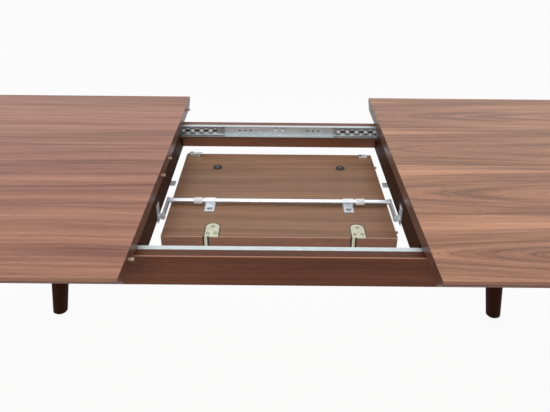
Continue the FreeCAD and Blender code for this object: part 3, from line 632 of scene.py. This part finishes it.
# %% Places of the screws, from the boxes of their CAD heads
HEAD_RADIUS, HEAD_HEIGHT = 0.0035, 0.0014
BRACKET_WALL = 0.0025
PLATE_WIDTH, PLATE_LENGTH = 0.029, 0.054
# across from a hinge plate's middle, and back from the leaf's front edge
HINGE_SCREWS = ((0, 0.042), (0.008, 0.014), (-0.008, 0.014))


def head_top(name):
    low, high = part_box(name)
    return (low.x + high.x) / 2, (low.y + high.y) / 2, high.z


leaf_top, leaf_low, leaf_front = a_box[1].z, b_box[0].z, a_box[0].y
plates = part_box("leaf_a_hinge_plates")
hinge_middles = (plates[0].x + PLATE_WIDTH / 2, plates[1].x - PLATE_WIDTH / 2)
hinge_spots = [(middle + dx, leaf_front + dy) for middle in hinge_middles for dx, dy in HINGE_SCREWS]
clip_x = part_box("clip_screws")[1].x - HEAD_RADIUS
clip_y, clip_z = head_top("clip_screws")[1:]
bracket_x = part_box("arm_brackets")[1].x - BRACKET_WALL - HEAD_HEIGHT
bracket_y = head_top("arm_bracket_screws")[1]
bracket_low, bracket_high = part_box("arm_bracket_screws")
bracket_levels = (bracket_low.z + HEAD_RADIUS, bracket_high.z - HEAD_RADIUS)
print("hinge screws on each half:", len(hinge_spots), "clips at:", round(clip_x, 4))

# %% Domes, with painted shade in the cross recess and round the seat of each screw
UP, DOWN = Matrix.Identity(4), Matrix.Rotation(math.pi, 4, "X")
INWARD = {side: Matrix.Rotation(-side * math.pi / 2, 4, "Y") for side in (-1, 1)}
SCREWS = {
    ("leaf_a", "hinge"): [((x, y, leaf_top + HEAD_HEIGHT), UP) for x, y in hinge_spots],
    ("leaf_b", "hinge"): [((x, y, leaf_low - HEAD_HEIGHT), DOWN) for x, y in hinge_spots],
    ("leaf_a", "fitting"): [((-clip_x, clip_y, clip_z), UP), ((clip_x, clip_y, clip_z), UP),
                            (head_top("leaf_strike_screw"), UP), (head_top("leaf_lock_screw"), UP)],
    ("frame", "bracket"): [((side * bracket_x, bracket_y, level), INWARD[side])
                           for side in (-1, 1) for level in bracket_levels],
}
DOME_RADIUS, DOME_SQUASH = 0.0033, 0.08
CROSS = (0.0044, 0.0011, 0.00012, 1), (0.0011, 0.0044, 0.00012, 1)
SEAT_INNER, SEAT_OUTER, SEAT_FILM = 0.0036, {"hinge": 0.0042, "fitting": 0.0058}, 0.0001
for (body, kind), spots in SCREWS.items():
    heads, recess_shade = bmesh.new(), bmesh.new()
    for spot, turn in spots:
        at = Matrix.Translation(spot) @ turn
        bmesh.ops.create_uvsphere(heads, u_segments=16, v_segments=8, radius=DOME_RADIUS,
                                  matrix=at @ Matrix.Diagonal((1, 1, DOME_SQUASH, 1)))
        # dark bars on the dome, painted shade in the cross recess
        for size in CROSS:
            lifted = at @ Matrix.Translation((0, 0, DOME_RADIUS * DOME_SQUASH))
            bmesh.ops.create_cube(recess_shade, size=1, matrix=lifted @ Matrix.Diagonal(size))
        # a dark ring round the seat, painted shade
        if body == "leaf_a":
            seat = Vector(spot) - Vector((0, 0, HEAD_HEIGHT))
            ring(recess_shade, seat, SEAT_INNER, SEAT_OUTER[kind], SEAT_FILM)
    steel, slot = (yellow_zinc, "yellow_zinc") if kind == "hinge" else (satin_steel, "bright_steel")
    piece(f"{body}_{kind}_screw_domes", heads, steel, body)
    piece(f"{body}_{kind}_screw_recess_shade", recess_shade, shade_black, body)

# %% [markdown]
# ## Slide rails
# A ball slide's rail is pressed from thin sheet: ribs stiffen its web, two rivets stand in the
# middle, each below a notch, and small holes look dark. Ribs are softened bars and rivets are
# flattened balls in near-white steel, a painted glint. The holes are open in CAD, and the wood
# behind would show in them, so thin dark pieces fill them with painted shade. Each notch is such a
# dark piece too, painted shade, because no cut is needed to draw it.

# %% Ribs, rivets, and painted shade in each notch and hole
GAUGE = 0.0015
RIB_RISE, RIB_OUT, RIB, RIB_SOFT = 0.0062, 0.0003, (0.292, 0.0008, 0.002), 0.0003
RIVET_X, RIVET, RIVET_SQUASH = 0.010, 0.0042, 0.45
NOTCH_RISE, NOTCH_OUT, NOTCH = 0.0086, 0.0001, (0.009, 0.0003, 0.0026)
HOLE_X, HOLE_IN, HOLE, HOLE_FILM = (0.078, 0.093, 0.108), 0.0008, 0.0024, 0.0006
rail_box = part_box("back_slide_rail")
slide_mid = (rail_box[0].z + rail_box[1].z) / 2
web = rail_box[1].y - GAUGE
ALONG_Y = Matrix.Rotation(math.pi / 2, 4, "X")
ribs, rivets, notch_and_hole_shade = bmesh.new(), bmesh.new(), bmesh.new()
for side in (-1, 1):
    for rise in (-RIB_RISE, RIB_RISE):
        bar(ribs, (0, side * (web - RIB_OUT), slide_mid + rise), RIB, RIB_SOFT)
    for x in (-RIVET_X, RIVET_X):
        button = Matrix.Translation((x, side * web, slide_mid))
        bmesh.ops.create_uvsphere(rivets, u_segments=16, v_segments=8, radius=RIVET,
                                  matrix=button @ Matrix.Diagonal((1, RIVET_SQUASH, 1, 1)))
        # a dark bar, painted shade in the notch
        bar(notch_and_hole_shade, (x, side * (web - NOTCH_OUT), slide_mid + NOTCH_RISE), NOTCH)
    # dark discs in the holes, painted shade
    for x in [mirrored * distance for distance in HOLE_X for mirrored in (-1, 1)]:
        facing = Matrix.Translation((x, side * (web + HOLE_IN), slide_mid)) @ ALONG_Y
        bmesh.ops.create_cone(notch_and_hole_shade, cap_ends=True, segments=16, radius1=HOLE, radius2=HOLE,
                              depth=HOLE_FILM, matrix=facing)
piece("slide_rail_ribs", ribs, zinc, "frame")
piece("slide_rail_rivets", rivets, glint_white_steel, "frame")
piece("slide_rail_notch_and_hole_shade", notch_and_hole_shade, shade_black, "frame")

# %% [markdown]
# ## Ball cages
# A cage is a strip that keeps the balls apart. It has openings in three rows, drawn as thin dark
# bars that are painted shade, and pressed dimples between them, flattened balls in near-white steel
# that is a painted glint. A bump texture could draw both, but a bump has no outline of its own, so
# both are pieces, and both roll with their cage.

# %% Painted shade in the cage openings, and dimples with a painted glint
CAGE_WALL, WINDOW_OUT, WINDOWS = 0.0008, 0.0001, 11
WINDOW, SMALL_WINDOW, ROW = (0.0115, 0.0004, 0.0048), (0.008, 0.0004, 0.0028), 0.0072
# along by this share of the pitch, up by this much, and the radius
DIMPLES = ((-0.5, 0, 0.0046), (0, -0.0074, 0.0030), (0, 0.0074, 0.0030))
PRESSED = Matrix.Diagonal((1, 0.2, 1, 1))
for name in ("left", "right"):
    window_shade, dimples = bmesh.new(), bmesh.new()
    low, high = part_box(f"{name}_ball_cages")
    face = high.y - CAGE_WALL - WINDOW_OUT
    pitch = (high.x - low.x) / (WINDOWS + 1)
    for y, i in [(y_side * face, i) for y_side in (-1, 1) for i in range(1, WINDOWS + 1)]:
        x = low.x + pitch * i
        # dark bars, painted shade in the openings
        bar(window_shade, (x, y, slide_mid), WINDOW)
        for rise in (-ROW, ROW):
            bar(window_shade, (x - pitch / 2, y, slide_mid + rise), SMALL_WINDOW)
        # flattened balls in near-white steel, a painted glint
        for share, rise, size in DIMPLES:
            press = Matrix.Translation((x + share * pitch, y, slide_mid + rise)) @ PRESSED
            bmesh.ops.create_uvsphere(dimples, u_segments=12, v_segments=6, radius=size, matrix=press)
    piece(f"{name}_cage_window_shade", window_shade, shade_black, f"{name}_cages")
    piece(f"{name}_cage_dimples", dimples, glint_white_steel, f"{name}_cages")

# %% [markdown]
# ## Hinge mortises
# Each hinge plate lies in a mortise, and its strap in a slot in the leaf's front edge, so a dark line
# of shade runs round the plate and beside the strap. A gap in CAD would be too thin to render well.
# The line is painted shade, a film of bars with half a ring round the plate's end.

# %% Painted shade round the plates and beside the straps
LINE, FILM = 0.0019, 0.00012
STRAP, STRAP_STEP = 0.006, {"leaf_a": 0.0, "leaf_b": 0.0064}
straight = PLATE_LENGTH - PLATE_WIDTH / 2
leaf_thick = a_box[1].z - a_box[0].z
for body, level, out_of in (("leaf_a", leaf_top, 1), ("leaf_b", leaf_low, -1)):
    # dark films, painted shade in the mortise gaps
    lines = bmesh.new()
    for middle in hinge_middles:
        for side in (-1, 1):
            beside = middle + side * (PLATE_WIDTH + LINE) / 2
            bar(lines, (beside, leaf_front + straight / 2, level + out_of * FILM / 2),
                (LINE, straight, FILM))
        ring(lines, (middle, leaf_front + straight, level), PLATE_WIDTH / 2, PLATE_WIDTH / 2 + LINE,
             out_of * FILM, math.pi)
        strap = middle - PLATE_WIDTH / 2 + STRAP_STEP[body]
        for x in (strap - LINE, strap + STRAP + LINE):
            bar(lines, (x, leaf_front - FILM / 2, level - out_of * leaf_thick / 2),
                (2 * LINE, FILM, leaf_thick))
    piece(f"{body}_mortise_shade_lines", lines, shade_black, body)
